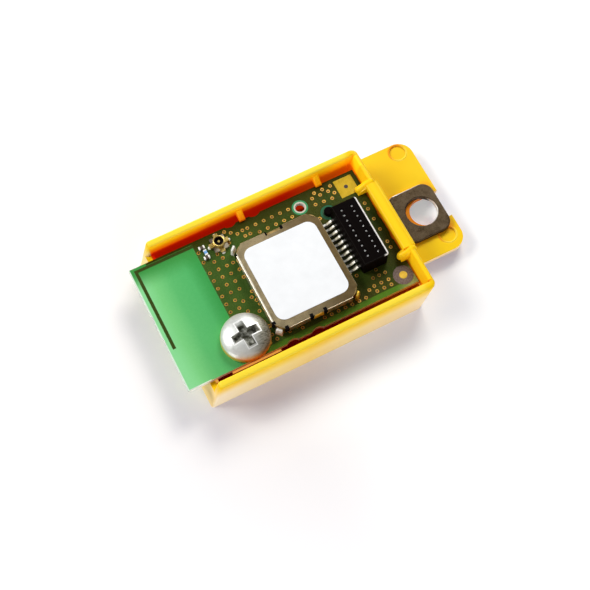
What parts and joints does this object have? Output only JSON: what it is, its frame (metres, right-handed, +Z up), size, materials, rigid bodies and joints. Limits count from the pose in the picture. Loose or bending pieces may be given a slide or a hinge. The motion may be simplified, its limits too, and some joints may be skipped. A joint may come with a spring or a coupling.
{
  "type": "wireless communication module",
  "caption": "Circuit board with a shielded radio, pin header, coaxial socket and printed antenna, screwed into an open moulded tray with a fixing flange and plate.",
  "frame": {"origin": "bottom centre of the bounding box of the whole module, on the underside of the tray", "axes": "+X from the bare board end to the flange, +Y towards the tray wall with the two catches, +Z up out of the tray"},
  "size_m": [0.0526, 0.028, 0.0084],
  "materials": {
    "tray_plastic": "semi-gloss moulded",
    "board_laminate": "green solder mask",
    "tinned_sheet": "tinned",
    "shield_sheet": "satin",
    "label_film": "matte white",
    "header_plastic": "satin black",
    "contact_metal": "gold plated",
    "insulator_plastic": "moulded",
    "chip_body": "ceramic",
    "package_resin": "moulded resin",
    "screw_steel": "bright zinc",
    "plate_steel": "dark satin"
  },
  "bodies": {
    "root": {"carrier_tray": "tray_plastic", "circuit_board": "board_laminate", "shield_frame": "tinned_sheet", "shield_lid": "shield_sheet", "blank_label": "label_film", "header_housing": "header_plastic", "header_contacts": "contact_metal", "header_leads": "tinned_sheet", "coax_base": "insulator_plastic", "coax_shell": "contact_metal", "coax_pin": "contact_metal", "chip_capacitor": "chip_body", "chip_inductor": "chip_body", "chip_resistor": "chip_body", "radio_chip": "package_resin", "memory_chip": "package_resin", "crystal_chip": "tinned_sheet", "mounting_screw": "screw_steel", "fixing_plate": "plate_steel"}
  },
  "joints": []
}
